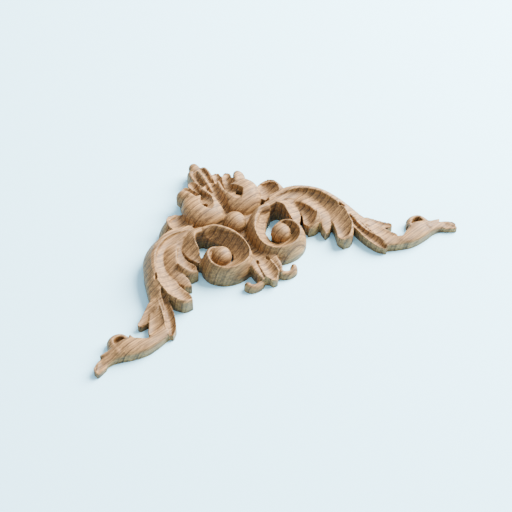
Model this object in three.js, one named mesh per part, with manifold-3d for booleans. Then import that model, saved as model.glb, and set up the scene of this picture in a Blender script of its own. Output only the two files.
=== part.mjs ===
// Carved wood corner onlay: a scroll and leaf ornament carved in relief from one board.
// Units are millimetres. The board lies flat with its back on z = 0, +Z up. The carving is the same
// left and right of the plane x = 0, the point of the crest looks along +Y, and the origin is on the
// back under the middle of the ball.

import * as THREE from 'three';
import { mergeVertices } from 'three/addons/utils/BufferGeometryUtils.js';
import Module from 'manifold-3d';

const wasm = await Module();
wasm.setup();
const { Manifold, Mesh: SolidMesh } = wasm;

// Driving dimensions
const SPAN = 360; // tip of one leg to tip of the other
const THICKNESS = 26; // board thickness, reached by the bulbs of the crest
const BALL_DIAMETER = 21;
const BALL_RISE = 12.5; // middle of the ball above the back
const EYE_DIAMETER = 18.5; // ball in the eye of each scroll
const EYE_RISE = 12.5;
const EYE_PLACE = [30.3, -32]; // middle of the scroll eye, in plan shares
const DRILL_DIAMETER = 7; // hole in each side of the crest
const DRILL_FLOOR = 6; // wood left under that hole
const DRILL_PLACE = [18.4, 25.6];
const VALLEY_HEIGHT = 8; // wood left between the forms

// The leaves are a free drawing. Plan places are given in 360ths of the span and heights in 26ths of
// the thickness, so the drawing keeps its proportions when those two change.
const PLAN = SPAN / 360;
const RELIEF = THICKNESS / 26;

// Fineness of the faceting
const FACET_LENGTH = 11; // along a stroke
const WIDE_STROKE = 7; // half width from which the round end of a stroke gets more facets
const STEPS_ACROSS = 4;
const STEPS_ROUND_END = { narrow: 2, wide: 3 };
const SHOULDER = 0.6; // 0.5 is a half round, 1 a flat bow
const BALL_STEPS = 12;
const PAD_SHARES = [1, 0.88, 0.55, 0]; // steps of a dome, from its rim to its centre
const PAD_STEPS_ROUND = 16;

const MERGE_WITHIN = 3e-5; // corners closer together than this are one
const BELOW_BACK = -3;
const ABOVE_FACE = 2 * THICKNESS;

const oak = new THREE.MeshStandardMaterial({
  name: 'pale_oak',
  color: new THREE.Color(0.78, 0.62, 0.44),
  roughness: 0.62,
  metalness: 0,
});

// Each row of a stroke is: x, y, half width, then the height of its surface at the left edge, along the
// middle and at the right edge, looking along the stroke.
function stationsAlong(rows, side) {
  const placed = rows.map(([x, y]) => new THREE.Vector3(side * x * PLAN, y * PLAN, 0));
  const heights = rows.map(([, , , left, middle, right]) =>
    new THREE.Vector3(side > 0 ? left : right, middle, side > 0 ? right : left).multiplyScalar(RELIEF));
  const widths = rows.map((row) => new THREE.Vector3(row[2] * PLAN, 0, 0));
  const spine = new THREE.CatmullRomCurve3(placed, false, 'centripetal');
  const surface = new THREE.CatmullRomCurve3(heights, false, 'catmullrom', 0.4);
  const breadth = new THREE.CatmullRomCurve3(widths, false, 'catmullrom', 0.4);

  const station = (t, forward, across) => ({
    centre: spine.getPoint(t),
    ahead: spine.getTangent(t),
    halfWidth: breadth.getPoint(t).x,
    heights: surface.getPoint(t),
    forward,
    across,
  });
  const stations = [];
  const startSteps = STEPS_ROUND_END[rows[0][2] < WIDE_STROKE ? 'narrow' : 'wide'];
  for (let i = 0; i < startSteps; i += 1) {
    const angle = (Math.PI / 2) * (1 - i / startSteps);
    stations.push(station(0, -Math.sin(angle), i === 0 ? 0 : Math.cos(angle)));
  }
  const steps = Math.max(2, Math.round(spine.getLength() / FACET_LENGTH));
  for (let i = 0; i <= steps; i += 1) {
    stations.push(station(i / steps, 0, 1));
  }
  const endSteps = STEPS_ROUND_END[rows.at(-1)[2] < WIDE_STROKE ? 'narrow' : 'wide'];
  for (let i = 1; i <= endSteps; i += 1) {
    const angle = (Math.PI / 2) * (i / endSteps);
    stations.push(station(1, Math.sin(angle), i === endSteps ? 0 : Math.cos(angle)));
  }
  return stations;
}

// The surface across a stroke goes through its three heights and runs on round both ends. A hollow
// one is a plain bow, and a full one is rounder at its shoulders.
function surfaceHeight({ heights, forward, across }, sideways) {
  const offset = sideways * across;
  const outward = Math.min(offset * offset + forward * forward, 1);
  const edgeMean = (heights.x + heights.z) / 2;
  const isFull = heights.y > edgeMean;
  const drop = isFull ? 1 - (1 - outward) ** SHOULDER : outward;
  return heights.y + ((heights.x - heights.z) / 2) * offset + (edgeMean - heights.y) * drop;
}

// A box bent along the stroke. Its top is the carved surface of a raised form, or its bottom is the
// surface that a gouge leaves.
function strokeGeometry(rows, side, isGouge) {
  const stations = stationsAlong(rows, side);
  const last = stations.length - 1;
  const geometry = new THREE.BoxGeometry(2, 1, 1, STEPS_ACROSS, last, 1);
  const position = geometry.attributes.position;
  const point = new THREE.Vector3();
  for (let i = 0; i < position.count; i += 1) {
    point.fromBufferAttribute(position, i);
    const station = stations[Math.round((point.y + 0.5) * last)];
    const { centre, ahead, halfWidth, forward, across } = station;
    const sideways = -point.x;
    const left = sideways * across * halfWidth;
    const carved = surfaceHeight(station, sideways);
    const top = isGouge ? ABOVE_FACE : carved;
    const bottom = isGouge ? carved : BELOW_BACK;
    position.setXYZ(
      i,
      centre.x + ahead.x * forward * halfWidth - ahead.y * left,
      centre.y + ahead.y * forward * halfWidth + ahead.x * left,
      point.z > 0 ? top : bottom,
    );
  }
  return geometry;
}

// A dome or dish. Its surface runs from its height at the centre to the heights round its rim, and the
// profile that is turned into it gives the share of that way, then the level, top or bottom.
function padGeometry([x, y, crown], rim, side) {
  const loop = new THREE.CatmullRomCurve3(
    rim.map((row) => new THREE.Vector3(...row)), true, 'centripetal');
  const middle = new THREE.Vector3(x, y, crown);
  const profile = [[0, 0], [1, 0], ...PAD_SHARES.map((share) => [share, 1])];
  const geometry = new THREE.LatheGeometry(
    profile.map(([share, level]) => new THREE.Vector2(share, level)), PAD_STEPS_ROUND);
  const position = geometry.attributes.position;
  const place = new THREE.Vector3();
  for (let i = 0; i < position.count; i += 1) {
    const turn = Math.floor(i / profile.length) / PAD_STEPS_ROUND;
    const [share, level] = profile[i % profile.length];
    const edge = loop.getPoint(side > 0 ? 1 - turn : turn);
    const isFull = crown > edge.z;
    const drop = isFull ? 1 - (1 - share * share) ** SHOULDER : share * share;
    place.lerpVectors(middle, edge, share);
    const top = (crown + (edge.z - crown) * drop) * RELIEF;
    position.setXYZ(i, side * place.x * PLAN, place.y * PLAN, level ? top : BELOW_BACK);
  }
  return geometry;
}

function solidFrom(geometry) {
  geometry.deleteAttribute('normal');
  geometry.deleteAttribute('uv');
  const merged = mergeVertices(geometry, MERGE_WITHIN);
  const corners = merged.index.array;
  const triangles = [];
  for (let i = 0; i < corners.length; i += 3) {
    const [a, b, c] = corners.slice(i, i + 3);
    if (a !== b && b !== c && c !== a) triangles.push(a, b, c);
  }
  return new Manifold(new SolidMesh({
    numProp: 3,
    vertProperties: new Float32Array(merged.attributes.position.array),
    triVerts: new Uint32Array(triangles),
  }));
}

function geometryFrom(solid) {
  const mesh = solid.getMesh();
  const geometry = new THREE.BufferGeometry();
  geometry.setAttribute('position', new THREE.BufferAttribute(mesh.vertProperties, mesh.numProp));
  geometry.setIndex(new THREE.BufferAttribute(mesh.triVerts, 1));
  return geometry;
}

const pad = (centre, rim, side) => solidFrom(padGeometry(centre, rim, side));
const raised = (rows, side = 1) => solidFrom(strokeGeometry(rows, side, false));
const gouge = (rows, side = 1) => solidFrom(strokeGeometry(rows, side, true));
const joined = (solids) => solids.reduce((whole, solid) => whole.add(solid));

// A ball standing on a plug of its own width, so that no gap is left under it
function ballOnPlug(x, y, diameter, rise) {
  const radius = diameter / 2;
  const ball = new THREE.SphereGeometry(radius, BALL_STEPS, BALL_STEPS / 2);
  ball.rotateX(Math.PI / 2);
  ball.translate(x, y, rise);
  const plugLength = rise - BELOW_BACK;
  const plug = new THREE.CylinderGeometry(0.92 * radius, 0.92 * radius, plugLength, BALL_STEPS);
  plug.rotateX(Math.PI / 2);
  plug.translate(x, y, rise - plugLength / 2);
  return solidFrom(ball).add(solidFrom(plug));
}

// Crest, on each side: a full bulb with a trough curling up from a drilled hole, a pointed tongue over
// it, a curled lobe, two hollow lobes and an ear
function crestSide(side) {
  const bulb = pad([25, 24.6, 26], [
    [4.4, 23, 21],
    [4.8, 30, 21.8],
    [6, 36, 21.4],
    [9.6, 39.4, 21],
    [14.4, 38, 22.6],
    [20.6, 38.6, 23],
    [24, 40.6, 22.8],
    [29.8, 41, 21.4],
    [34.4, 38, 19.4],
    [37.6, 32.8, 18],
    [38.8, 26.4, 16],
    [37.8, 18.6, 14],
    [33.6, 12.2, 11.2],
    [27.4, 8.4, 10.4],
    [20, 7, 10.2],
    [12.6, 7.2, 10.6],
    [6.2, 10, 11.8],
    [2.8, 14.6, 13.8],
    [3.2, 19, 18],
  ], side);
  const curledLobe = raised([
    [24.4, 32, 4.6, 24.4, 24.6, 22],
    [25.8, 39.8, 4.4, 24.2, 24.4, 21],
    [27.8, 44, 5.6, 22.8, 23.8, 18],
    [29.6, 47, 5.8, 21.6, 23.6, 16.6],
  ], side);
  const innerRim = raised([
    [6, 31, 1.2, 21.6, 22.2, 22],
    [6.4, 36, 1.5, 20.6, 22, 21.4],
    [7.6, 43, 1.7, 19, 20.8, 19.4],
    [9.2, 50, 1.6, 17.4, 19.2, 17.6],
  ], side);
  const trough = gouge([
    [12.6, 18, 2.6, 23.4, 23.2, 23.2],
    [14.8, 22.8, 5.4, 23.4, 21.4, 21.2],
    [14.2, 29, 5.8, 21.8, 20, 19.6],
    [11.8, 34, 4.8, 20.6, 17.6, 17],
    [10.8, 39, 4.2, 19.4, 15.4, 15],
    [10.9, 43, 4, 18, 14, 14],
  ], side);
  const aboveTongue = gouge([
    [15, 42.6, 3, 15, 13, 15],
    [18.8, 43.4, 3.6, 14, 12.6, 14],
    [18.4, 50, 4, 13, 10.6, 13],
  ], side);
  const undercut = raised([
    [33.2, 53.4, 3.2, 10.4, 10.4, 10.4],
    [36.4, 46, 4.2, 10.4, 10.4, 10.4],
    [37.4, 39, 3.4, 10.4, 10.4, 10.4],
    [38.4, 35.6, 1.2, 10.4, 10.4, 10.4],
  ], side);
  const ear = pad([45.4, 20.6, 11.4], [
    [34, 20, 15.4],
    [36.4, 27.4, 15],
    [42.6, 32.2, 15.4],
    [50, 32.4, 17.4],
    [55.4, 28, 19.6],
    [57.2, 21.6, 19.6],
    [55.4, 15.6, 18],
    [50.8, 11.2, 14.6],
    [43, 9.6, 13],
    [36.6, 13, 14.6],
  ], side);
  const earRoll = raised([
    [46.4, 31.4, 1.8, 12, 15.4, 15.6],
    [52.6, 30, 2.8, 9, 15.6, 18],
    [59.2, 25.6, 5, 3, 15, 19.4],
    [60.8, 20, 5.4, 2.6, 14, 18.8],
    [58, 14, 4.4, 5, 12.4, 16.4],
    [52, 10.8, 2.8, 8, 11, 13],
  ], side);
  const secondTip = raised([
    [16.4, 41, 4, 14.6, 13.4, 15],
    [18.2, 48, 4.6, 15, 11.4, 15.6],
    [20.2, 53.6, 4.9, 16.4, 11.8, 16.4],
    [21.6, 56.4, 4, 16.4, 13.6, 16],
  ], side);
  const firstTip = raised([
    [9.4, 41, 3.2, 18, 15, 16],
    [9.8, 49, 3.8, 17.6, 11.4, 16.4],
    [11.6, 56.4, 4.4, 17, 11, 16.4],
    [13, 61, 4, 16, 13, 15.4],
  ], side);
  const head = bulb.add(curledLobe).subtract(undercut);
  const body = joined([head, ear, earRoll]).subtract(trough).subtract(aboveTongue);
  return joined([body, innerRim, secondTip, firstTip]);
}

// Leaf of three lobes at the point of the crest, with a rib standing on it
function crestPoint() {
  const blade = raised([
    [0, 46, 7, 16, 12.6, 16],
    [0, 60, 9.4, 14, 12.4, 14],
    [0, 70, 10, 13.6, 13.4, 13.6],
    [0, 75, 7, 12.6, 13.6, 12.6],
  ]);
  const knob = raised([
    [0, 68, 4.6, 13.6, 15, 13.6],
    [0, 76, 5, 13.4, 14.6, 13.4],
    [0, 81, 5.4, 13.6, 16.4, 13.6],
    [0, 82.9, 5.1, 13.6, 17.2, 13.6],
  ]);
  const rib = raised([
    [0, 44, 1.2, 14.6, 15.6, 14.6],
    [0, 54, 2, 15, 17.6, 15],
    [0, 63, 2.8, 15.4, 19, 15.4],
    [0, 70, 2.2, 15.4, 18.6, 15.4],
    [0, 75, 0.8, 14.6, 16.4, 14.6],
  ]);
  const lobes = [1, -1].map((side) => raised([
    [8, 58, 2.6, 12.6, 14.6, 11],
    [8.6, 65, 2.4, 13, 16, 11],
    [8.8, 71.6, 2.2, 13, 16.6, 11.6],
    [7.6, 76.6, 2.6, 13, 16.4, 12],
    [5.6, 77.8, 2.2, 13, 15.4, 12.4],
  ], side));
  return joined([blade, knob, rib, ...lobes]);
}

// Scroll: a roll with a sharp crest that winds in to a ball, and the bowl that slopes down inside it
function scroll(side) {
  const roll = raised([
    [31.4, -0.6, 5, 19.5, 23.2, 12],
    [22.8, -1.6, 5, 21.8, 23, 9],
    [14.8, -7.4, 5.6, 22, 22, 8.5],
    [9, -15.4, 4.9, 22, 21, 8.5],
    [6, -24, 3.3, 21.8, 20, 8],
    [4.9, -33.2, 2.2, 21.4, 18.4, 6],
    [5.8, -42.6, 2.3, 20.6, 17.4, 4],
    [10, -50, 2.5, 20, 17.4, 6],
    [17.4, -54.4, 2.5, 19.6, 17.4, 7],
    [26, -55.8, 2.6, 19.4, 17.4, 7],
    [34.6, -54.4, 2.7, 19.6, 17.4, 7],
    [42, -49.8, 3.1, 20.2, 17.8, 7],
    [46.6, -43, 3.6, 21, 18.6, 7],
    [47.2, -35.4, 3.8, 21.4, 19.2, 8],
    [44.8, -28.6, 3.6, 21.4, 19.4, 9],
    [40, -24.2, 3.2, 21, 19, 10],
    [34.6, -22.6, 2.6, 20, 18, 11],
    [29.6, -23.2, 1.6, 18, 16.6, 12],
  ], side);
  const bowl = raised([
    [31, -3.6, 3.2, 15, 18, 21],
    [25.6, -7.6, 3.6, 10.5, 15.5, 21.6],
    [20, -13.6, 4, 10, 14.5, 21.8],
    [16, -20, 4.6, 9.5, 14.5, 21.8],
    [13.6, -26.4, 6, 9.5, 14.5, 21.6],
    [12.8, -33.4, 6.6, 9.5, 14, 21.2],
    [14.6, -40.4, 7.2, 9.5, 13, 20.4],
    [19, -45.6, 7.8, 9.5, 12.4, 19.8],
    [26, -47.4, 7.4, 9.5, 12.2, 19.4],
    [33.4, -46.4, 6.8, 9.5, 12.4, 19.4],
    [38.6, -42.4, 5.8, 9.5, 13, 20],
    [41.2, -37.2, 4.6, 10.5, 14, 21],
    [40.6, -31.6, 3.6, 12, 15, 21.2],
    [37, -27.6, 2.8, 13, 16, 20.6],
  ], side);
  const eye = ballOnPlug(side * EYE_PLACE[0] * PLAN, EYE_PLACE[1] * PLAN, EYE_DIAMETER, EYE_RISE);
  return joined([roll, bowl, eye]);
}

// Low wood that carries the ball and ties the crest, the scrolls and the lower flower together
function valleyFloor() {
  const level = VALLEY_HEIGHT / RELIEF;
  const middle = raised([
    [0, 48, 7, 16.4, 13, 16.4],
    [0, 40, 7, 20, 14.4, 20],
    [0, 28, 4.8, 21, 14.6, 21],
    [0, 16, 5, 15, 11, 15],
    [0, 3, 16, level, level, level],
    [0, -8, 13, level, level, level],
    [0, -24, 7, level, level, level],
    [0, -50, 7, level, level, level],
  ]);
  const besides = [1, -1].map((side) => raised([
    [8, 6, 6, level, level, level],
    [20, 5, 6.4, level, level, level],
    [36, 10, 7, level, level, level],
    [46, 9, 5, level, level, level],
  ], side));
  return joined([middle, ...besides]);
}

// Flower below the ball: a hollow keel petal between two side petals, with a low hook on each side
function flower() {
  const keel = raised([
    [0, -38, 3.6, 9, 9.6, 9],
    [0, -46, 5, 12.4, 11.4, 12.4],
    [0, -55, 6, 13.6, 10.8, 13.6],
    [0, -64, 6.8, 13.6, 9.4, 13.6],
    [0, -70.6, 6.8, 12.4, 8.4, 12.4],
    [0, -73.8, 3.6, 10, 8, 10],
  ]);
  const sidePetals = [1, -1].map((side) => raised([
    [5.6, -44, 2.8, 11, 12, 10],
    [8.2, -51, 4.2, 12.6, 13.2, 10.4],
    [9.2, -59, 4, 12.8, 13.2, 10],
    [9.6, -66, 3, 11.6, 12.4, 9.6],
    [9, -70.4, 1.4, 10, 10.6, 9],
  ], side));
  const hooks = [1, -1].map((side) => raised([
    [8.4, -65, 3.4, 5, 8.4, 5],
    [11.6, -70.6, 3.3, 4, 8, 4],
    [16.8, -72.6, 3, 3.6, 7.6, 3.6],
    [21.6, -71.2, 3.2, 4, 8.4, 4],
    [23.2, -68.4, 3.4, 4, 9, 4],
  ], side));
  const pits = [1, -1].map((side) => gouge([
    [4.8, -51.6, 1.4, 12, 7.6, 12],
    [5.4, -54.6, 1.1, 12, 8.6, 12],
  ], side));
  const bell = joined([keel, ...sidePetals, ...hooks]);
  return pits.reduce((whole, pit) => whole.subtract(pit), bell);
}

// Leg: a long leaf that slopes outward from its crest, with five lobes folded over each other along
// its inner side. The lobes rise in turn from a valley to a crest.
function leg(side) {
  const outerSlope = raised([
    [44, 9.5, 4.5, 13, 18, 21],
    [62, 10, 5.2, 12, 20, 23],
    [76, 5, 5.8, 12, 20.5, 23.5],
    [87, -4.5, 6, 12, 20.5, 23],
    [94, -18, 5.8, 12, 19.5, 22],
    [98, -31, 5.6, 12, 18, 20.5],
    [100.8, -42, 5.8, 11, 15.5, 17.5],
    [104.5, -50, 5, 9, 11.5, 12.5],
  ], side);
  const fourthLobe = raised([
    [44, 6, 5, 20, 20, 20],
    [60, 4.6, 6, 22.5, 19.5, 18],
    [72.5, -2, 6.6, 23, 18, 15],
    [81.4, -12, 7, 22.5, 16.5, 12.5],
    [86.6, -25, 7.2, 21.5, 15.5, 12],
    [87, -39, 7.6, 20, 14.5, 12],
    [84.8, -51, 7.8, 17.5, 12, 12],
    [81, -60, 7, 13.5, 9.5, 12],
  ], side);
  const thirdLobe = raised([
    [60, 1, 5, 15, 16, 15],
    [69.4, -7, 7.4, 14.5, 18, 18.5],
    [75.4, -20, 7, 12, 16, 18],
    [76, -33, 5.8, 11, 14, 14],
    [71.4, -43, 4.2, 9.5, 11.5, 12],
    [68.6, -47.6, 1.2, 8.5, 9.5, 9.5],
  ], side);
  const secondLobe = raised([
    [54, 3, 5.5, 17, 18, 17],
    [62.5, -4, 6.5, 17, 16.5, 14.5],
    [65.8, -15, 6.4, 15.5, 14, 12],
    [64.8, -24, 6.6, 17.6, 11.6, 11.5],
    [61.6, -31, 6.4, 15.5, 9.6, 12],
  ], side);
  const firstLobe = raised([
    [35, 0.4, 4.2, 19, 22, 22],
    [43.6, 0.6, 5, 18, 21.6, 23.4],
    [51.4, -8, 6.4, 14.5, 19, 24],
    [51.8, -18, 6.2, 13.5, 16, 20.6],
    [49.8, -28, 2.2, 12, 11.5, 13],
  ], side);
  const secondHook = raised([
    [57.4, -37, 1.4, 11.6, 12.4, 11],
    [62.2, -36.8, 2, 13.4, 14.6, 11],
    [66.8, -34.4, 2.3, 16, 17.2, 12],
    [69.9, -30.6, 1.9, 18.4, 19.4, 15],
    [71, -26.6, 0.6, 19.6, 20.2, 18],
  ], side);
  const fourthRim = raised([
    [76.6, -65.4, 1.3, 12.6, 13.6, 11.4],
    [83.4, -64.6, 1.5, 13, 14.8, 11.6],
    [89.4, -58.4, 1.5, 14, 16.4, 13],
    [93.2, -51.6, 0.5, 16.6, 17.8, 16],
  ], side);
  const fifthLobe = raised([
    [97, -47, 4, 13.5, 11.5, 13],
    [98.6, -58, 4.6, 12.4, 8.4, 11.6],
    [101, -71, 5, 11.8, 6.8, 10.8],
    [104.6, -82, 4.6, 10.6, 5.6, 9.6],
    [107, -87.6, 2.4, 8.8, 5, 8],
  ], side);
  const tipNotch = gouge([
    [110.4, -94, 3, -4, -4, -4],
    [107.2, -86.4, 0.3, 0, 0, 0],
  ], side);
  const foldBetween = raised([
    [102, -47, 5, 12, 13, 14],
    [107, -60, 6.6, 8.5, 9.5, 11.5],
    [113, -72, 7, 8.5, 7.5, 10.5],
    [119.5, -80, 5, 9, 7.5, 9.5],
  ], side);
  const flame = raised([
    [108, -54, 5, 11, 11, 12],
    [115, -59.6, 4.6, 9.5, 7.5, 8],
    [120.8, -63.4, 3.8, 8.5, 6, 8],
    [125.4, -65.4, 2.7, 8, 6, 8],
  ], side);
  const ovalCut = gouge([
    [93.2, -30, 1.5, 21, 15, 21],
    [95.2, -33.8, 1.5, 21, 15, 21],
  ], side);
  const lobes = [outerSlope, firstLobe, secondLobe, thirdLobe, fourthLobe, fifthLobe];
  const leaf = joined([...lobes, secondHook, fourthRim]);
  return leaf.subtract(ovalCut).subtract(tipNotch).add(foldBetween).add(flame);
}

// Tail of the leg: a long leaf with a curled lobe, a pointed lobe, a spur and a flared tip
function tail(side) {
  const body = raised([
    [112, -83, 5, 9, 10, 8],
    [119, -86, 5, 9.5, 10, 8],
    [126, -88.6, 4.6, 10, 11, 8],
    [131.4, -88.8, 5.8, 10.5, 11.5, 8],
    [137.4, -87.2, 7.4, 11, 12, 8],
    [146, -84.8, 8.2, 11.5, 12.5, 8],
    [157, -84.2, 6.2, 9, 10, 7],
    [166, -86.4, 3.8, 7, 7.5, 5],
    [173, -89.2, 3.8, 7, 5.5, 5],
    [176.4, -92, 3.9, 7, 5, 5],
  ], side);
  const pointedLobe = raised([
    [141.4, -86, 5.4, 10, 11.6, 10],
    [140.6, -80.6, 3.2, 12, 12.6, 12],
    [139.9, -76, 0.6, 12.8, 13, 12.8],
  ], side);
  const curledLobe = raised([
    [156, -84, 4.4, 10, 11, 8],
    [157.4, -76.4, 3.2, 9.6, 9.6, 6],
    [155.6, -69.8, 2.9, 9.6, 9.4, 5],
    [150.4, -67.6, 2.9, 9.4, 9.4, 5],
    [145, -68.8, 2.9, 9, 9, 5],
    [142, -72.4, 2.3, 8.6, 8.4, 5],
  ], side);
  const curledFloor = raised([
    [150.6, -77, 4.6, 5, 4, 5],
    [150.4, -72.6, 3.6, 5, 4, 5],
  ], side);
  const spur = raised([
    [158, -82.8, 3.2, 9.4, 10, 9.4],
    [164.6, -81.8, 2.1, 8, 8.6, 8],
    [169.4, -81, 0.7, 7, 8, 7],
  ], side);
  const tip = raised([
    [172, -90, 3.8, 7, 5.5, 5],
    [178.2, -95.4, 1.5, 6, 5, 6],
  ], side);
  return joined([body, pointedLobe, curledLobe, curledFloor, spur, tip]);
}

// Everything below the back plane is planed off.
function planedBack(solid) {
  const height = ABOVE_FACE;
  const board = new THREE.BoxGeometry(2 * SPAN, 2 * SPAN, height);
  board.translate(0, 0, height / 2);
  return solid.intersect(solidFrom(board));
}

function drilledHole(side) {
  const depth = ABOVE_FACE - DRILL_FLOOR;
  const drill = new THREE.CylinderGeometry(DRILL_DIAMETER / 2, DRILL_DIAMETER / 2, depth, 12);
  drill.rotateX(Math.PI / 2);
  drill.translate(side * DRILL_PLACE[0] * PLAN, DRILL_PLACE[1] * PLAN, DRILL_FLOOR + depth / 2);
  return solidFrom(drill);
}

function onlay() {
  const halves = [1, -1].flatMap((side) => [crestSide(side), scroll(side), leg(side), tail(side)]);
  const ball = ballOnPlug(0, 0, BALL_DIAMETER, BALL_RISE);
  const whole = joined([valleyFloor(), crestPoint(), flower(), ball, ...halves]);
  return planedBack(whole.subtract(drilledHole(1)).subtract(drilledHole(-1)));
}

const cornerOnlay = new THREE.Mesh(geometryFrom(onlay()), oak);
cornerOnlay.name = 'corner_onlay';

const part = new THREE.Group();
part.add(cornerOnlay);

export default part;
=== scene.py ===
"""Carved oak corner onlay: scrolls, leaves and a shell crest cut in relief from one board.

The onlay lies flat, its back on z = 0 and its carved face up. The drawing below is in millimetres, in
a plan whose span is 360 and a board 26 thick, and it is brought to the solid's own box. Left and right
mirror each other about the plane x = 0.
"""

import math

import bmesh
import bpy
import numpy as np
from mathutils import Matrix, Vector


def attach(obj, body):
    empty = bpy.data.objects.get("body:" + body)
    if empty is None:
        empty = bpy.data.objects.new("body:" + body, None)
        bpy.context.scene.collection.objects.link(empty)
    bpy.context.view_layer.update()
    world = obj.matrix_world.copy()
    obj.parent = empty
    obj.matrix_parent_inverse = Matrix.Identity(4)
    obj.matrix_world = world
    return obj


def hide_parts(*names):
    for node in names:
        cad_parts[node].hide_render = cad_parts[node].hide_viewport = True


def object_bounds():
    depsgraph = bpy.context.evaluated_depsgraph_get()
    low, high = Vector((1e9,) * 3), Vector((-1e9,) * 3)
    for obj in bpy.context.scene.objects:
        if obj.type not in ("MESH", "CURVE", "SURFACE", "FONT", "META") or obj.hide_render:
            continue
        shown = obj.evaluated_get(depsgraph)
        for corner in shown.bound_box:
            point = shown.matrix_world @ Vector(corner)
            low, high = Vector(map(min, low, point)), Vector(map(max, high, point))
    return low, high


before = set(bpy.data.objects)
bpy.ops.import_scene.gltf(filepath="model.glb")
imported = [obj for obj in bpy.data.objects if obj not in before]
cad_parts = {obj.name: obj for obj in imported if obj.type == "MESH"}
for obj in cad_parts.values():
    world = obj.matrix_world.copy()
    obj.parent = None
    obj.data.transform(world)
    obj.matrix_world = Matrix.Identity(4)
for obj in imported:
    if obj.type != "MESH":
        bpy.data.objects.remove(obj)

bl_info = {
    "name": "Carved Corner Onlay",
    "version": (1, 0, 0),
    "blender": (4, 5, 0),
    "location": "View3D > Sidebar > Onlay",
    "description": "Builds a carved oak corner onlay over its solid, with a plain studio round it",
    "category": "Add Mesh",
}

NODE = "corner_onlay"
CAD_LOW, CAD_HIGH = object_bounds()
MM = 0.001
DRAWN_SPAN = 360.0
DRAWN_THICKNESS = 26.0
TIP_REACH = 1.0015661  # the round end of a tip reaches a little past its last row
BELOW_BACK = -3.0  # forms are drawn down to here, then planed off at the back
ABOVE_FACE = 2 * DRAWN_THICKNESS  # gouge cuts are drawn up to here

BALL = {"place": (0.0, 0.0), "diameter": 21.0, "rise": 12.5}
EYE = {"place": (30.3, -32.0), "diameter": 18.5, "rise": 12.5}
DRILL = {"place": (18.4, 25.6), "diameter": 7.0, "floor": 6.0}
VALLEY = 8.0
SHOULDER = 0.6  # 0.5 is a half round, 1 a flat bow
BREADTH_EASE = 0.4  # how smoothly widths and heights change from row to row
FACET = 1.6  # length of the steps that the drawing is made in, before it is evened
KEPT_FACES = 0.44  # share of the small faces left after the flattest places are thinned

FLOOR_HALF = 6.0
KEY_PLACE = (1.45, 0.15, 1.15)
KEY_AIM = (0.0, -0.02, 0.0)
KEY_SIZE = 1.7
KEY_COLOUR = (1.0, 0.97, 0.93)
SKY_COLOUR = (0.83, 0.91, 1.0)
VIEW_TARGET = (0.003051, -0.035, 0.0)
VIEW_AZIMUTH = math.radians(-28.5585)
VIEW_ELEVATION = math.radians(46.2021)
VIEW_DISTANCE = 1.1615
VIEW_ANGLE = math.radians(22.5)
VIEW_SHIFT = -0.5 / 512
SENSOR_WIDTH = 36.0


class OnlaySizes(bpy.types.PropertyGroup):
    """Sizes of the fine carving, which lies within the solid's own box."""

    grain_of_carving: bpy.props.FloatProperty(
        name="Fineness",
        description="Width of the cells that the carved surface is made of",
        default=0.00066,
        min=0.0005,
        max=0.003,
        unit="LENGTH",
    )
    softening: bpy.props.IntProperty(
        name="Softening",
        description="Passes of sanding over the edges left by the gouges",
        default=2,
        min=0,
        max=12,
    )


class OakFinish(bpy.types.PropertyGroup):
    """Colours and figure of the bare oak."""

    pale: bpy.props.FloatVectorProperty(
        name="Early wood",
        description="Colour of the pale wood between the rings",
        subtype="COLOR",
        size=3,
        min=0.0,
        max=1.0,
        default=(0.225, 0.121, 0.042),
    )
    middle: bpy.props.FloatVectorProperty(
        name="Late wood",
        description="Colour of the denser wood of each ring",
        subtype="COLOR",
        size=3,
        min=0.0,
        max=1.0,
        default=(0.1, 0.047, 0.016),
    )
    dark: bpy.props.FloatVectorProperty(
        name="Pores",
        description="Colour of the open pores and the line of each ring",
        subtype="COLOR",
        size=3,
        min=0.0,
        max=1.0,
        default=(0.02, 0.009, 0.003),
    )
    grain_turn: bpy.props.FloatProperty(
        name="Grain direction",
        description="Turn of the grain from the span, about the board's face",
        subtype="ANGLE",
        default=math.radians(13.0),
    )


class Studio(bpy.types.PropertyGroup):
    """Floor, light and camera."""

    floor_colour: bpy.props.FloatVectorProperty(
        name="Floor",
        description="Colour of the floor",
        subtype="COLOR",
        size=3,
        min=0.0,
        max=1.0,
        default=(0.45, 0.82, 1.0),
    )
    key_energy: bpy.props.FloatProperty(
        name="Key light",
        description="Power of the large soft light",
        default=375.0,
        min=0.0,
        unit="POWER",
    )
    sky_strength: bpy.props.FloatProperty(
        name="Sky",
        description="Strength of the even light from all round",
        default=1.5,
        min=0.0,
    )


# Curves along a stroke


def curve_pieces(points, centripetal, closed=False):
    """Cubic coefficients of a smooth curve through the points, one set for each span."""
    points = np.array(points, float)
    if closed:
        run = np.vstack([points[-1], points, points[:2]])
    else:
        run = np.vstack([2 * points[0] - points[1], points, 2 * points[-1] - points[-2]])
    pieces = []
    for before, start, end, after in zip(run, run[1:], run[2:], run[3:]):
        if centripetal:
            gaps = [
                max(np.linalg.norm(b - a), 1e-9) ** 0.5
                for a, b in ((before, start), (start, end), (end, after))
            ]
            leave = (start - before) / gaps[0] - (end - before) / (gaps[0] + gaps[1])
            leave = (leave + (end - start) / gaps[1]) * gaps[1]
            arrive = (end - start) / gaps[1] - (after - start) / (gaps[1] + gaps[2])
            arrive = (arrive + (after - end) / gaps[2]) * gaps[1]
        else:
            leave, arrive = BREADTH_EASE * (end - before), BREADTH_EASE * (after - start)
        pieces.append(
            (
                start,
                leave,
                3 * (end - start) - 2 * leave - arrive,
                2 * (start - end) + leave + arrive,
            )
        )
    return pieces


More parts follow.
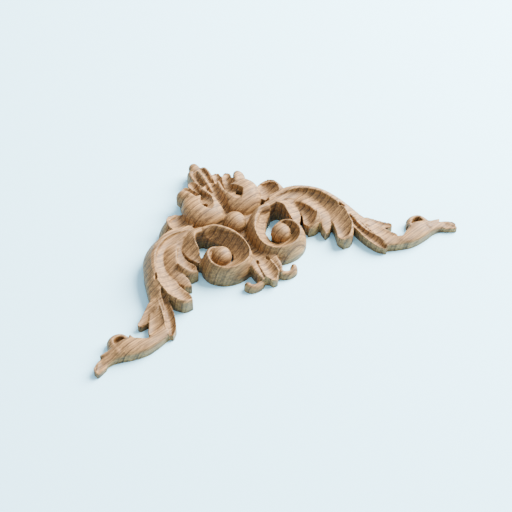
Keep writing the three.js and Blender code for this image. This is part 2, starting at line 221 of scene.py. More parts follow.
def along(pieces, t):
    """Point of the curve at t, from 0 at its start to 1 at its end."""
    place = min(max(t, 0.0), 1.0) * len(pieces)
    number = min(int(place), len(pieces) - 1)
    a, b, c, d = pieces[number]
    u = place - number
    return a + u * (b + u * (c + u * d))


def stations_along(rows):
    """Cross sections of a stroke, with a round end before its first row and after its last."""
    spine = curve_pieces([row[:2] for row in rows], True)
    breadth = curve_pieces([(row[2],) for row in rows], False)
    surface = curve_pieces([row[3:6] for row in rows], False)
    steps_in = 60
    line = np.array([along(spine, i / steps_in) for i in range(steps_in + 1)])
    length = np.linalg.norm(np.diff(line, axis=0), axis=1).sum()

    def station(t, forward, across):
        ahead = along(spine, t + 1e-3) - along(spine, t - 1e-3)
        return {
            "centre": along(spine, t),
            "ahead": ahead / max(np.linalg.norm(ahead), 1e-12),
            "half": float(along(breadth, t)[0]),
            "heights": along(surface, t),
            "forward": forward,
            "across": across,
        }

    def round_end(row):
        return max(4, int(round(row[2] * 1.5 / FACET)))

    stations = []
    ends = round_end(rows[0])
    for i in range(ends):
        angle = math.pi / 2 * (1 - i / ends)
        stations.append(station(0, -math.sin(angle), 0 if i == 0 else math.cos(angle)))
    steps = max(len(rows) - 1, int(round(length / FACET)))
    stations += [station(i / steps, 0, 1) for i in range(steps + 1)]
    ends = round_end(rows[-1])
    for i in range(1, ends + 1):
        angle = math.pi / 2 * i / ends
        stations.append(station(1, math.sin(angle), 0 if i == ends else math.cos(angle)))
    return stations


def surface_height(station, sideways):
    """Height across a stroke: a bow where it is hollow, fuller at its shoulders where it is full."""
    left, middle, right = station["heights"]
    offset = sideways * station["across"]
    outward = min(offset * offset + station["forward"] ** 2, 1.0)
    edge = (left + right) / 2
    drop = 1 - (1 - outward) ** SHOULDER if middle > edge else outward
    return middle + (left - right) / 2 * offset + (edge - middle) * drop


# Solids


def solid_from(bm, name):
    bmesh.ops.remove_doubles(bm, verts=bm.verts[:], dist=1e-4)
    bmesh.ops.dissolve_degenerate(bm, edges=bm.edges[:], dist=1e-5)
    bmesh.ops.recalc_face_normals(bm, faces=bm.faces[:])
    mesh = bpy.data.meshes.new(name)
    bm.to_mesh(mesh)
    bm.free()
    solid = bpy.data.objects.new(name, mesh)
    bpy.context.scene.collection.objects.link(solid)
    return solid


def stroke(rows, side, is_gouge):
    """A strip laid along its rows, given its carved surface, then drawn down below the back.

    A row is x, y, half width, then the height of the surface at the left edge, along the middle and at
    the right edge, looking along the stroke. A gouge is drawn up instead, so its surface is its bottom.
    """
    stations = stations_along(rows)
    last = len(stations) - 1
    widest = max(row[2] for row in rows)
    bm = bmesh.new()
    bmesh.ops.create_grid(
        bm, x_segments=max(6, int(2 * widest / FACET)), y_segments=last, size=1.0
    )
    for vertex in bm.verts:
        found = stations[round((vertex.co.y + 1) / 2 * last)]
        sideways = vertex.co.x
        left = sideways * found["across"] * found["half"]
        ahead = found["ahead"]
        place = found["centre"] + ahead * found["forward"] * found["half"]
        vertex.co = (
            side * (place[0] - ahead[1] * left),
            place[1] + ahead[0] * left,
            surface_height(found, sideways),
        )
    return drawn_to(bm, ABOVE_FACE if is_gouge else BELOW_BACK)


def pad(centre, rim, side=1):
    """A dome or a dish. Its surface runs from its height at the centre to the heights round its rim."""
    loop = curve_pieces(rim, True, closed=True)
    middle = np.array(centre, float)
    reach = max(np.linalg.norm(np.array(row[:2]) - middle[:2]) for row in rim)
    bm = bmesh.new()
    bmesh.ops.create_grid(
        bm, x_segments=int(6 * reach / FACET), y_segments=int(reach / FACET) + 2, size=1.0
    )
    for vertex in bm.verts:
        edge = along(loop, (vertex.co.x + 1) / 2)
        share = (vertex.co.y + 1) / 2
        outward = share * share
        drop = 1 - (1 - outward) ** SHOULDER if middle[2] > edge[2] else outward
        place = middle + (edge - middle) * share
        vertex.co = (side * place[0], place[1], middle[2] + (edge[2] - middle[2]) * drop)
    return drawn_to(bm, BELOW_BACK)


def drawn_to(bm, level):
    """Closes a carved surface into a solid by drawing its rim straight to a level."""
    bmesh.ops.remove_doubles(bm, verts=bm.verts[:], dist=1e-4)
    drawn = bmesh.ops.extrude_face_region(bm, geom=bm.faces[:])["geom"]
    for vertex in drawn:
        if isinstance(vertex, bmesh.types.BMVert):
            vertex.co.z = level
    return solid_from(bm, "form")


def raised(rows, side=1):
    return stroke(rows, side, False)


def gouge(rows, side=1):
    return stroke(rows, side, True)


def ball_on_plug(place, diameter, rise, side=1):
    """A ball on a plug a little narrower than itself, so that no gap is left under it."""
    radius = diameter / 2
    centre = Vector((side * place[0], place[1], rise))
    ball = bmesh.new()
    bmesh.ops.create_uvsphere(
        ball, u_segments=48, v_segments=24, radius=radius, matrix=Matrix.Translation(centre)
    )
    depth = rise - BELOW_BACK
    plug = bmesh.new()
    bmesh.ops.create_cone(
        plug,
        cap_ends=True,
        segments=48,
        radius1=0.92 * radius,
        radius2=0.92 * radius,
        depth=depth,
        matrix=Matrix.Translation(centre - Vector((0, 0, depth / 2))),
    )
    return combined([solid_from(ball, "ball"), solid_from(plug, "plug")], "UNION")


def combined(solids, operation):
    """One solid made of several: the first, with the others joined to it or cut from it."""
    base, *others = solids
    for other in others:
        modifier = base.modifiers.new("step", "BOOLEAN")
        modifier.operation = operation
        modifier.solver = "MANIFOLD"
        modifier.object = other
    view = bpy.context.evaluated_depsgraph_get()
    mesh = bpy.data.meshes.new_from_object(base.evaluated_get(view))
    base.modifiers.clear()
    old = base.data
    base.data = mesh
    bpy.data.meshes.remove(old)
    for other in others:
        other_mesh = other.data
        bpy.data.objects.remove(other)
        bpy.data.meshes.remove(other_mesh)
    if not mesh.polygons:
        raise RuntimeError("a boolean step left nothing")
    return base


# The drawing


def crest_side(side):
    """A full bulb with a trough curling from a drilled hole, a pointed tongue, two lobes and an ear."""
    bulb = pad(
        (25, 24.6, 26),
        [
            (4.4, 23, 21),
            (4.8, 30, 21.8),
            (6, 36, 21.4),
            (9.6, 39.4, 21),
            (14.4, 38, 22.6),
            (20.6, 38.6, 23),
            (24, 40.6, 22.8),
            (29.8, 41, 21.4),
            (34.4, 38, 19.4),
            (37.6, 32.8, 18),
            (38.8, 26.4, 16),
            (37.8, 18.6, 14),
            (33.6, 12.2, 11.2),
            (27.4, 8.4, 10.4),
            (20, 7, 10.2),
            (12.6, 7.2, 10.6),
            (6.2, 10, 11.8),
            (2.8, 14.6, 13.8),
            (3.2, 19, 18),
        ],
        side,
    )
    curled_lobe = raised(
        [
            (24.4, 32, 4.6, 24.4, 24.6, 22),
            (25.8, 39.8, 4.4, 24.2, 24.4, 21),
            (27.8, 44, 5.6, 22.8, 23.8, 18),
            (29.6, 47, 5.8, 21.6, 23.6, 16.6),
        ],
        side,
    )
    inner_rim = raised(
        [
            (6, 31, 1.2, 21.6, 22.2, 22),
            (6.4, 36, 1.5, 20.6, 22, 21.4),
            (7.6, 43, 1.7, 19, 20.8, 19.4),
            (9.2, 50, 1.6, 17.4, 19.2, 17.6),
        ],
        side,
    )
    trough = gouge(
        [
            (12.6, 18, 2.6, 23.4, 23.2, 23.2),
            (14.8, 22.8, 5.4, 23.4, 21.4, 21.2),
            (14.2, 29, 5.8, 21.8, 20, 19.6),
            (11.8, 34, 4.8, 20.6, 17.6, 17),
            (10.8, 39, 4.2, 19.4, 15.4, 15),
            (10.9, 43, 4, 18, 14, 14),
        ],
        side,
    )
    above_tongue = gouge(
        [
            (15, 42.6, 3, 15, 13, 15),
            (18.8, 43.4, 3.6, 14, 12.6, 14),
            (18.4, 50, 4, 13, 10.6, 13),
        ],
        side,
    )
    undercut = raised(
        [
            (33.2, 53.4, 3.2, 10.4, 10.4, 10.4),
            (36.4, 46, 4.2, 10.4, 10.4, 10.4),
            (37.4, 39, 3.4, 10.4, 10.4, 10.4),
            (38.4, 35.6, 1.2, 10.4, 10.4, 10.4),
        ],
        side,
    )
    ear = pad(
        (45.4, 20.6, 11.4),
        [
            (34, 20, 15.4),
            (36.4, 27.4, 15),
            (42.6, 32.2, 15.4),
            (50, 32.4, 17.4),
            (55.4, 28, 19.6),
            (57.2, 21.6, 19.6),
            (55.4, 15.6, 18),
            (50.8, 11.2, 14.6),
            (43, 9.6, 13),
            (36.6, 13, 14.6),
        ],
        side,
    )
    ear_roll = raised(
        [
            (46.4, 31.4, 1.8, 12, 15.4, 15.6),
            (52.6, 30, 2.8, 9, 15.6, 18),
            (59.2, 25.6, 5, 3, 15, 19.4),
            (60.8, 20, 5.4, 2.6, 14, 18.8),
            (58, 14, 4.4, 5, 12.4, 16.4),
            (52, 10.8, 2.8, 8, 11, 13),
        ],
        side,
    )
    second_tip = raised(
        [
            (16.4, 41, 4, 14.6, 13.4, 15),
            (18.2, 48, 4.6, 15, 11.4, 15.6),
            (20.2, 53.6, 4.9, 16.4, 11.8, 16.4),
            (21.6, 56.4, 4, 16.4, 13.6, 16),
        ],
        side,
    )
    first_tip = raised(
        [
            (9.4, 41, 3.2, 18, 15, 16),
            (9.8, 49, 3.8, 17.6, 11.4, 16.4),
            (11.6, 56.4, 4.4, 17, 11, 16.4),
            (13, 61, 4, 16, 13, 15.4),
        ],
        side,
    )
    head = combined([combined([bulb, curled_lobe], "UNION"), undercut], "DIFFERENCE")
    body = combined([head, ear, ear_roll], "UNION")
    carved = combined([body, trough, above_tongue], "DIFFERENCE")
    return combined([carved, inner_rim, second_tip, first_tip], "UNION")


def crest_point():
    """Leaf of three lobes at the point of the crest, with a rib standing on it."""
    blade = raised(
        [
            (0, 46, 7, 16, 12.6, 16),
            (0, 60, 9.4, 14, 12.4, 14),
            (0, 70, 10, 13.6, 13.4, 13.6),
            (0, 75, 7, 12.6, 13.6, 12.6),
        ]
    )
    knob = raised(
        [
            (0, 68, 4.6, 13.6, 15, 13.6),
            (0, 76, 5, 13.4, 14.6, 13.4),
            (0, 81, 5.4, 13.6, 16.4, 13.6),
            (0, 82.9, 5.1, 13.6, 17.2, 13.6),
        ]
    )
    rib = raised(
        [
            (0, 44, 1.2, 14.6, 15.6, 14.6),
            (0, 54, 2, 15, 17.6, 15),
            (0, 63, 2.8, 15.4, 19, 15.4),
            (0, 70, 2.2, 15.4, 18.6, 15.4),
            (0, 75, 0.8, 14.6, 16.4, 14.6),
        ]
    )
    lobes = [
        raised(
            [
                (8, 58, 2.6, 12.6, 14.6, 11),
                (8.6, 65, 2.4, 13, 16, 11),
                (8.8, 71.6, 2.2, 13, 16.6, 11.6),
                (7.6, 76.6, 2.6, 13, 16.4, 12),
                (5.6, 77.8, 2.2, 13, 15.4, 12.4),
            ],
            side,
        )
        for side in (1, -1)
    ]
    return combined([blade, knob, rib, *lobes], "UNION")


def scroll(side):
    """A roll with a sharp crest that winds in to a ball, and the bowl that slopes down inside it."""
    roll = raised(
        [
            (31.4, -0.6, 5, 19.5, 23.2, 12),
            (22.8, -1.6, 5, 21.8, 23, 9),
            (14.8, -7.4, 5.6, 22, 22, 8.5),
            (9, -15.4, 4.9, 22, 21, 8.5),
            (6, -24, 3.3, 21.8, 20, 8),
            (4.9, -33.2, 2.2, 21.4, 18.4, 6),
            (5.8, -42.6, 2.3, 20.6, 17.4, 4),
            (10, -50, 2.5, 20, 17.4, 6),
            (17.4, -54.4, 2.5, 19.6, 17.4, 7),
            (26, -55.8, 2.6, 19.4, 17.4, 7),
            (34.6, -54.4, 2.7, 19.6, 17.4, 7),
            (42, -49.8, 3.1, 20.2, 17.8, 7),
            (46.6, -43, 3.6, 21, 18.6, 7),
            (47.2, -35.4, 3.8, 21.4, 19.2, 8),
            (44.8, -28.6, 3.6, 21.4, 19.4, 9),
            (40, -24.2, 3.2, 21, 19, 10),
            (34.6, -22.6, 2.6, 20, 18, 11),
            (29.6, -23.2, 1.6, 18, 16.6, 12),
        ],
        side,
    )
    bowl = raised(
        [
            (31, -3.6, 3.2, 15, 18, 21),
            (25.6, -7.6, 3.6, 10.5, 15.5, 21.6),
            (20, -13.6, 4, 10, 14.5, 21.8),
            (16, -20, 4.6, 9.5, 14.5, 21.8),
            (13.6, -26.4, 6, 9.5, 14.5, 21.6),
            (12.8, -33.4, 6.6, 9.5, 14, 21.2),
            (14.6, -40.4, 7.2, 9.5, 13, 20.4),
            (19, -45.6, 7.8, 9.5, 12.4, 19.8),
            (26, -47.4, 7.4, 9.5, 12.2, 19.4),
            (33.4, -46.4, 6.8, 9.5, 12.4, 19.4),
            (38.6, -42.4, 5.8, 9.5, 13, 20),
            (41.2, -37.2, 4.6, 10.5, 14, 21),
            (40.6, -31.6, 3.6, 12, 15, 21.2),
            (37, -27.6, 2.8, 13, 16, 20.6),
        ],
        side,
    )
    eye = ball_on_plug(EYE["place"], EYE["diameter"], EYE["rise"], side)
    return combined([roll, bowl, eye], "UNION")


def valley_floor():
    """Low wood that carries the ball and ties the crest, the scrolls and the lower flower together."""
    low = (VALLEY, VALLEY, VALLEY)
    middle = raised(
        [
            (0, 48, 7, 16.4, 13, 16.4),
            (0, 40, 7, 20, 14.4, 20),
            (0, 28, 4.8, 21, 14.6, 21),
            (0, 16, 5, 15, 11, 15),
            (0, 3, 16, *low),
            (0, -8, 13, *low),
            (0, -24, 7, *low),
            (0, -50, 7, *low),
        ]
    )
    besides = [
        raised([(8, 6, 6, *low), (20, 5, 6.4, *low), (36, 10, 7, *low), (46, 9, 5, *low)], side)
        for side in (1, -1)
    ]
    return combined([middle, *besides], "UNION")


def flower():
    """A hollow keel petal between two narrow side petals, with a low hook curling out on each side."""
    keel = raised(
        [
            (0, -38, 3.6, 9, 9.6, 9),
            (0, -46, 5, 12.4, 11.4, 12.4),
            (0, -55, 6, 13.6, 10.8, 13.6),
            (0, -64, 6.8, 13.6, 9.4, 13.6),
            (0, -70.6, 6.8, 12.4, 8.4, 12.4),
            (0, -73.8, 3.6, 10, 8, 10),
        ]
    )
    side_petals = [
        raised(
            [
                (5.6, -44, 2.8, 11, 12, 10),
                (8.2, -51, 4.2, 12.6, 13.2, 10.4),
                (9.2, -59, 4, 12.8, 13.2, 10),
                (9.6, -66, 3, 11.6, 12.4, 9.6),
                (9, -70.4, 1.4, 10, 10.6, 9),
            ],
            side,
        )
        for side in (1, -1)
    ]
    hooks = [
        raised(
            [
                (8.4, -65, 3.4, 5, 8.4, 5),
                (11.6, -70.6, 3.3, 4, 8, 4),
                (16.8, -72.6, 3, 3.6, 7.6, 3.6),
                (21.6, -71.2, 3.2, 4, 8.4, 4),
                (23.2, -68.4, 3.4, 4, 9, 4),
            ],
            side,
        )
        for side in (1, -1)
    ]
    pits = [
        gouge([(4.8, -51.6, 1.4, 12, 7.6, 12), (5.4, -54.6, 1.1, 12, 8.6, 12)], side)
        for side in (1, -1)
    ]
    bell = combined([keel, *side_petals, *hooks], "UNION")
    return combined([bell, *pits], "DIFFERENCE")


def leg(side):
    """A long leaf that slopes outward from its crest, with five lobes folded over each other."""
    outer_slope = raised(
        [
            (44, 9.5, 4.5, 13, 18, 21),
            (62, 10, 5.2, 12, 20, 23),
            (76, 5, 5.8, 12, 20.5, 23.5),
            (87, -4.5, 6, 12, 20.5, 23),
            (94, -18, 5.8, 12, 19.5, 22),
            (98, -31, 5.6, 12, 18, 20.5),
            (100.8, -42, 5.8, 11, 15.5, 17.5),
            (104.5, -50, 5, 9, 11.5, 12.5),
        ],
        side,
    )
    fourth_lobe = raised(
        [
            (44, 6, 5, 20, 20, 20),
            (60, 4.6, 6, 22.5, 19.5, 18),
            (72.5, -2, 6.6, 23, 18, 15),
            (81.4, -12, 7, 22.5, 16.5, 12.5),
            (86.6, -25, 7.2, 21.5, 15.5, 12),
            (87, -39, 7.6, 20, 14.5, 12),
            (84.8, -51, 7.8, 17.5, 12, 12),
            (81, -60, 7, 13.5, 9.5, 12),
        ],
        side,
    )
    third_lobe = raised(
        [
            (60, 1, 5, 15, 16, 15),
            (69.4, -7, 7.4, 14.5, 18, 18.5),
            (75.4, -20, 7, 12, 16, 18),
            (76, -33, 5.8, 11, 14, 14),
            (71.4, -43, 4.2, 9.5, 11.5, 12),
            (68.6, -47.6, 1.2, 8.5, 9.5, 9.5),
        ],
        side,
    )
    second_lobe = raised(
        [
            (54, 3, 5.5, 17, 18, 17),
            (62.5, -4, 6.5, 17, 16.5, 14.5),
            (65.8, -15, 6.4, 15.5, 14, 12),
            (64.8, -24, 6.6, 17.6, 11.6, 11.5),
            (61.6, -31, 6.4, 15.5, 9.6, 12),
        ],
        side,
    )
    first_lobe = raised(
        [
            (35, 0.4, 4.2, 19, 22, 22),
            (43.6, 0.6, 5, 18, 21.6, 23.4),
            (51.4, -8, 6.4, 14.5, 19, 24),
            (51.8, -18, 6.2, 13.5, 16, 20.6),
            (49.8, -28, 2.2, 12, 11.5, 13),
        ],
        side,
    )
    second_hook = raised(
        [
            (57.4, -37, 1.4, 11.6, 12.4, 11),
            (62.2, -36.8, 2, 13.4, 14.6, 11),
            (66.8, -34.4, 2.3, 16, 17.2, 12),
            (69.9, -30.6, 1.9, 18.4, 19.4, 15),
            (71, -26.6, 0.6, 19.6, 20.2, 18),
        ],
        side,
    )
    fourth_rim = raised(
        [
            (76.6, -65.4, 1.3, 12.6, 13.6, 11.4),
            (83.4, -64.6, 1.5, 13, 14.8, 11.6),
            (89.4, -58.4, 1.5, 14, 16.4, 13),
            (93.2, -51.6, 0.5, 16.6, 17.8, 16),
        ],
        side,
    )
    fifth_lobe = raised(
        [
            (97, -47, 4, 13.5, 11.5, 13),
            (98.6, -58, 4.6, 12.4, 8.4, 11.6),
            (101, -71, 5, 11.8, 6.8, 10.8),
            (104.6, -82, 4.6, 10.6, 5.6, 9.6),
            (107, -87.6, 2.4, 8.8, 5, 8),
        ],
        side,
    )
    tip_notch = gouge([(110.4, -94, 3, -4, -4, -4), (107.2, -86.4, 0.3, 0, 0, 0)], side)
    fold_between = raised(
        [
            (102, -47, 5, 12, 13, 14),
            (107, -60, 6.6, 8.5, 9.5, 11.5),
            (113, -72, 7, 8.5, 7.5, 10.5),
            (119.5, -80, 5, 9, 7.5, 9.5),
        ],
        side,
    )
    flame = raised(
        [
            (108, -54, 5, 11, 11, 12),
            (115, -59.6, 4.6, 9.5, 7.5, 8),
            (120.8, -63.4, 3.8, 8.5, 6, 8),
            (125.4, -65.4, 2.7, 8, 6, 8),
        ],
        side,
    )
    oval_cut = gouge([(93.2, -30, 1.5, 21, 15, 21), (95.2, -33.8, 1.5, 21, 15, 21)], side)
    lobes = [outer_slope, first_lobe, second_lobe, third_lobe, fourth_lobe, fifth_lobe]
    leaf = combined([*lobes, second_hook, fourth_rim], "UNION")
    cut = combined([leaf, oval_cut, tip_notch], "DIFFERENCE")
    return combined([cut, fold_between, flame], "UNION")


def tail(side):
    """A long leaf with a curled lobe, a pointed lobe, a spur and a flared tip."""
    body = raised(
        [
            (112, -83, 5, 9, 10, 8),
            (119, -86, 5, 9.5, 10, 8),
            (126, -88.6, 4.6, 10, 11, 8),
            (131.4, -88.8, 5.8, 10.5, 11.5, 8),
            (137.4, -87.2, 7.4, 11, 12, 8),
            (146, -84.8, 8.2, 11.5, 12.5, 8),
            (157, -84.2, 6.2, 9, 10, 7),
            (166, -86.4, 3.8, 7, 7.5, 5),
            (173, -89.2, 3.8, 7, 5.5, 5),
            (176.4, -92, 3.9, 7, 5, 5),
        ],
        side,
    )
    pointed_lobe = raised(
        [
            (141.4, -86, 5.4, 10, 11.6, 10),
            (140.6, -80.6, 3.2, 12, 12.6, 12),
            (139.9, -76, 0.6, 12.8, 13, 12.8),
        ],
        side,
    )
    curled_lobe = raised(
        [
            (156, -84, 4.4, 10, 11, 8),
            (157.4, -76.4, 3.2, 9.6, 9.6, 6),
            (155.6, -69.8, 2.9, 9.6, 9.4, 5),
            (150.4, -67.6, 2.9, 9.4, 9.4, 5),
            (145, -68.8, 2.9, 9, 9, 5),
            (142, -72.4, 2.3, 8.6, 8.4, 5),
        ],
        side,
    )
    curled_floor = raised(
        [
            (151.6, -80, 5.4, 10, 10, 10),
            (151.6, -76.6, 4, 8, 6, 8),
            (150.6, -72.6, 3.4, 5, 3.6, 5),
        ],
        side,
    )
    spur = raised(
        [(158, -82.8, 3.2, 9.4, 10, 9.4), (164.6, -81.8, 2.1, 8, 8.6, 8), (169.4, -81, 0.7, 7, 8, 7)],
        side,
    )
    tip = raised([(172, -90, 3.8, 7, 5.5, 5), (178.2, -95.4, 1.5, 6, 5, 6)], side)
    return combined([body, pointed_lobe, curled_lobe, curled_floor, spur, tip], "UNION")


def drilled_hole(side):
    depth = ABOVE_FACE - DRILL["floor"]
    centre = Vector((side * DRILL["place"][0], DRILL["place"][1], DRILL["floor"] + depth / 2))
    drill = bmesh.new()
    bmesh.ops.create_cone(
        drill,
        cap_ends=True,
        segments=36,
        radius1=DRILL["diameter"] / 2,
        radius2=DRILL["diameter"] / 2,
        depth=depth,
        matrix=Matrix.Translation(centre),
    )
    return solid_from(drill, "drill")


def whole_drawing():
    halves = [make(side) for side in (1, -1) for make in (crest_side, scroll, leg, tail)]
    ball = ball_on_plug(BALL["place"], BALL["diameter"], BALL["rise"])
    whole = combined([valley_floor(), crest_point(), flower(), ball, *halves], "UNION")
    return combined([whole, drilled_hole(1), drilled_hole(-1)], "DIFFERENCE")


def evened(solid, cell, passes):
    """The same form on an even net of small faces, with its edges sanded a little."""
    net = solid.modifiers.new("net", "REMESH")
    net.mode = "VOXEL"
    net.voxel_size = cell
    net.adaptivity = 0.0
    if passes:
        sanded = solid.modifiers.new("sanded", "SMOOTH")
        sanded.factor = 0.5
        sanded.iterations = passes
    thinned = solid.modifiers.new("thinned", "DECIMATE")
    thinned.ratio = KEPT_FACES
    view = bpy.context.evaluated_depsgraph_get()
    mesh = bpy.data.meshes.new_from_object(solid.evaluated_get(view))
    solid.modifiers.clear()
    old = solid.data
    solid.data = mesh
    bpy.data.meshes.remove(old)
    return solid


def planed_back(bm):
    """Cuts the carving off at z = 0 and closes the back with flat faces."""
    bmesh.ops.bisect_plane(
        bm,
        geom=bm.verts[:] + bm.edges[:] + bm.faces[:],
        dist=1e-5,
        plane_co=(0, 0, 0),
        plane_no=(0, 0, 1),
        clear_inner=True,
    )
    rim = [edge for edge in bm.edges if edge.is_boundary]
    bmesh.ops.triangle_fill(bm, use_beauty=True, use_dissolve=False, edges=rim, normal=(0, 0, -1))
    bmesh.ops.recalc_face_normals(bm, faces=bm.faces[:])


def finished_mesh(solid, name):
    """Brings the drawing to the solid's size in metres, with its place in its mesh."""
    bm = bmesh.new()
    bm.from_mesh(solid.data)
    bmesh.ops.triangulate(bm, faces=bm.faces[:])
    planed_back(bm)
    plan = (CAD_HIGH.x - CAD_LOW.x) / DRAWN_SPAN / TIP_REACH
    relief = (CAD_HIGH.z - CAD_LOW.z) / DRAWN_THICKNESS
    bmesh.ops.scale(bm, vec=(plan, plan, relief), verts=bm.verts[:])
    for face in bm.faces:
        face.smooth = face.normal.z > -0.99
    mesh = bpy.data.meshes.new(name)
    bm.to_mesh(mesh)
    bm.free()
    piece = bpy.data.objects.new(name, mesh)
    bpy.context.scene.collection.objects.link(piece)
    old = solid.data
    bpy.data.objects.remove(solid)
    bpy.data.meshes.remove(old)
    return piece


# The finish


def oak_material(finish):
    material = bpy.data.materials.new("bare_oak")
    material.use_nodes = True
    tree = material.node_tree
    nodes, links = tree.nodes, tree.links
    shader = nodes["Principled BSDF"]
    shader.inputs["IOR"].default_value = 1.45
    shader.inputs["Specular IOR Level"].default_value = 0.35

    place = nodes.new("ShaderNodeTexCoord")

    def mapped(location, scale, turn=0.0):
        mapping = nodes.new("ShaderNodeMapping")
        mapping.vector_type = "TEXTURE"
        mapping.inputs["Location"].default_value = location
        mapping.inputs["Rotation"].default_value = (0, 0, finish.grain_turn + turn)
        mapping.inputs["Scale"].default_value = scale
        links.new(place.outputs["Object"], mapping.inputs["Vector"])
        return mapping.outputs["Vector"]

    def noise(vector, scale, detail, roughness=0.55, distortion=0.0):
        made = nodes.new("ShaderNodeTexNoise")
        made.inputs["Scale"].default_value = scale
        made.inputs["Detail"].default_value = detail
        made.inputs["Roughness"].default_value = roughness
        made.inputs["Distortion"].default_value = distortion
        links.new(vector, made.inputs["Vector"])
        return made.outputs["Fac"]

    def ramp(value, stops):
        made = nodes.new("ShaderNodeValToRGB")
        made.color_ramp.interpolation = "EASE"
        elements = made.color_ramp.elements
        elements[0].position, elements[0].color = stops[0][0], (*[stops[0][1]] * 3, 1)
        elements[1].position, elements[1].color = stops[-1][0], (*[stops[-1][1]] * 3, 1)
        for position, level in stops[1:-1]:
            elements.new(position).color = (level, level, level, 1)
        links.new(value, made.inputs["Fac"])
        return made.outputs["Color"]

    def mixed(kind, factor, a, b):
        made = nodes.new("ShaderNodeMix")
        made.data_type = "RGBA"
        made.blend_type = kind
        for name, value in (("Factor", factor), ("A", a), ("B", b)):
            socket = next(
                s for s in made.inputs
                if s.name == name and s.type == ("VALUE" if name == "Factor" else "RGBA")
            )
            if isinstance(value, bpy.types.NodeSocket):
                links.new(value, socket)
            else:
                socket.default_value = value
        return next(s for s in made.outputs if s.type == "RGBA")

    def grown_rings(scale, distortion, detail_scale):
        made = nodes.new("ShaderNodeTexWave")
        made.wave_type = "RINGS"
        made.rings_direction = "X"
        made.wave_profile = "SAW"
        made.inputs["Scale"].default_value = scale
        made.inputs["Distortion"].default_value = distortion
        made.inputs["Detail"].default_value = 2.0
        made.inputs["Detail Scale"].default_value = detail_scale
        made.inputs["Detail Roughness"].default_value = 0.5
        links.new(mapped((0.0, 0.34, 0.06), (5.0, 1.0, 1.0)), made.inputs["Vector"])
        return made.outputs["Fac"]

    # Rings are shells about the heart of the tree, which lies along the grain below the board
    rings = grown_rings(58.0, 1.8, 0.6)
    fine_rings = grown_rings(149.0, 2.6, 0.7)
    drift = noise(mapped((0, 0, 0), (4.0, 1.0, 1.0)), 30.0, 3.0)
    streaks = noise(mapped((0, 0, 0), (16.0, 1.0, 1.0)), 380.0, 3.0, 0.6)
    fibre = noise(mapped((0, 0, 0), (30.0, 1.0, 1.0)), 1000.0, 3.0, 0.6)
    pores = noise(mapped((0, 0, 0), (11.0, 1.0, 1.0)), 900.0, 2.0, 0.5)

    ring_shade = ramp(rings, [(0.0, 0.0), (0.5, 0.12), (0.85, 0.5), (1.0, 0.75)])
    ring_line = ramp(rings, [(0.0, 0.0), (0.78, 0.0), (0.95, 1.0), (1.0, 1.0)])
    fine_line = ramp(fine_rings, [(0.0, 0.0), (0.55, 0.0), (0.95, 1.0), (1.0, 1.0)])
    strength = ramp(drift, [(0.3, 0.25), (0.7, 1.0)])
    pore_marks = ramp(pores, [(0.0, 1.0), (0.33, 1.0), (0.43, 0.0), (1.0, 0.0)])

    pale, middle, dark = ((*colour, 1) for colour in (finish.pale, finish.middle, finish.dark))
    base = mixed("MIX", ring_shade, pale, middle)
    base = mixed("OVERLAY", 0.35, base, ramp(drift, [(0.25, 0.3), (0.75, 0.72)]))
    base = mixed("OVERLAY", 0.6, base, ramp(streaks, [(0.3, 0.22), (0.7, 0.78)]))
    base = mixed("OVERLAY", 0.6, base, ramp(fibre, [(0.3, 0.22), (0.7, 0.78)]))
    base = mixed("MIX", mixed("MULTIPLY", 1.0, fine_line, (0.4, 0.4, 0.4, 1)), base, dark)
    line = mixed("MULTIPLY", 1.0, ring_line, strength)
    base = mixed("MIX", mixed("MULTIPLY", 1.0, line, (0.66, 0.66, 0.66, 1)), base, dark)
    base = mixed("MIX", ramp(pore_marks, [(0.0, 0.0), (1.0, 0.4)]), base, dark)
    links.new(base, shader.inputs["Base Color"])

    rough = ramp(fibre, [(0.2, 0.52), (0.8, 0.72)])
    links.new(rough, shader.inputs["Roughness"])

    bump = nodes.new("ShaderNodeBump")
    bump.inputs["Strength"].default_value = 0.35
    bump.inputs["Distance"].default_value = 0.0004
    bump.invert = True
    links.new(pore_marks, bump.inputs["Height"])
    links.new(bump.outputs["Normal"], shader.inputs["Normal"])
    return material


def floor_material(colour):
    material = bpy.data.materials.new("studio_floor")
    material.use_nodes = True
    shader = material.node_tree.nodes["Principled BSDF"]
    shader.inputs["Base Color"].default_value = (*colour, 1)
    shader.inputs["Roughness"].default_value = 0.9
    shader.inputs["Specular IOR Level"].default_value = 0.1
    return material


# Operators


class CarveOnlay(bpy.types.Operator):
    """Carves the whole onlay as one piece of oak over its solid"""

    bl_idname = "onlay.carve"
    bl_label = "Carve Onlay"

    def execute(self, context):
        sizes = context.scene.onlay_sizes
        drawing = whole_drawing()
        even = evened(drawing, sizes.grain_of_carving / MM, sizes.softening)
        piece = finished_mesh(even, "carved_onlay")
        piece.data.materials.append(oak_material(context.scene.oak_finish))
        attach(piece, "root")
        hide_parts(NODE)
        return {"FINISHED"}


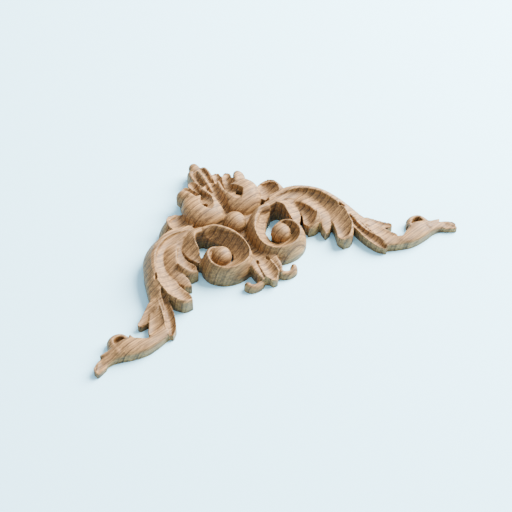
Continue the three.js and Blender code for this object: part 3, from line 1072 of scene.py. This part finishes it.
class SetStudio(bpy.types.Operator):
    """Lays the floor and sets the lights and the camera"""

    bl_idname = "onlay.studio"
    bl_label = "Set Studio"

    def execute(self, context):
        studio = context.scene.onlay_studio
        scene = context.scene

        bm = bmesh.new()
        bmesh.ops.create_grid(bm, x_segments=1, y_segments=1, size=FLOOR_HALF)
        mesh = bpy.data.meshes.new("floor")
        bm.to_mesh(mesh)
        bm.free()
        floor = bpy.data.objects.new("floor", mesh)
        scene.collection.objects.link(floor)
        floor.data.materials.append(floor_material(studio.floor_colour))

        key = bpy.data.lights.new("key", "AREA")
        key.shape = "DISK"
        key.size = KEY_SIZE
        key.energy = studio.key_energy
        key.color = KEY_COLOUR
        light = bpy.data.objects.new("key", key)
        light.location = KEY_PLACE
        light.rotation_mode = "QUATERNION"
        light.rotation_quaternion = (Vector(KEY_AIM) - light.location).to_track_quat("-Z", "Y")
        scene.collection.objects.link(light)

        world = bpy.data.worlds.new("sky")
        world.use_nodes = True
        sky = world.node_tree.nodes["Background"]
        sky.inputs["Color"].default_value = (*SKY_COLOUR, 1)
        sky.inputs["Strength"].default_value = studio.sky_strength
        scene.world = world

        back = Vector((
            math.sin(VIEW_AZIMUTH) * math.cos(VIEW_ELEVATION),
            -math.cos(VIEW_AZIMUTH) * math.cos(VIEW_ELEVATION),
            math.sin(VIEW_ELEVATION),
        ))
        data = bpy.data.cameras.new("view")
        data.sensor_width = SENSOR_WIDTH
        data.lens = SENSOR_WIDTH / 2 / math.tan(VIEW_ANGLE / 2)
        data.shift_y = VIEW_SHIFT
        data.clip_start, data.clip_end = 0.05, 30.0
        camera = bpy.data.objects.new("view", data)
        camera.location = Vector(VIEW_TARGET) + back * VIEW_DISTANCE
        camera.rotation_mode = "QUATERNION"
        camera.rotation_quaternion = (-back).to_track_quat("-Z", "Y")
        scene.collection.objects.link(camera)
        scene.camera = camera
        return {"FINISHED"}


class OnlayPanel(bpy.types.Panel):
    """Lists the onlay's pieces and its studio"""

    bl_label = "Corner Onlay"
    bl_idname = "VIEW3D_PT_corner_onlay"
    bl_space_type = "VIEW_3D"
    bl_region_type = "UI"
    bl_category = "Onlay"

    def draw(self, context):
        layout = self.layout
        for group in (context.scene.onlay_sizes, context.scene.oak_finish, context.scene.onlay_studio):
            for name in group.__annotations__:
                layout.prop(group, name)
        for operator in OPERATORS:
            layout.operator(operator.bl_idname)


OPERATORS = (CarveOnlay, SetStudio)
CLASSES = (OnlaySizes, OakFinish, Studio, *OPERATORS, OnlayPanel)
GROUPS = {"onlay_sizes": OnlaySizes, "oak_finish": OakFinish, "onlay_studio": Studio}


def register():
    for made in CLASSES:
        bpy.utils.register_class(made)
    for name, group in GROUPS.items():
        setattr(bpy.types.Scene, name, bpy.props.PointerProperty(type=group))


def unregister():
    for name in GROUPS:
        delattr(bpy.types.Scene, name)
    for made in reversed(CLASSES):
        bpy.utils.unregister_class(made)


def main():
    register()
    bpy.ops.onlay.carve()
    bpy.ops.onlay.studio()


if __name__ == "__main__":
    main()
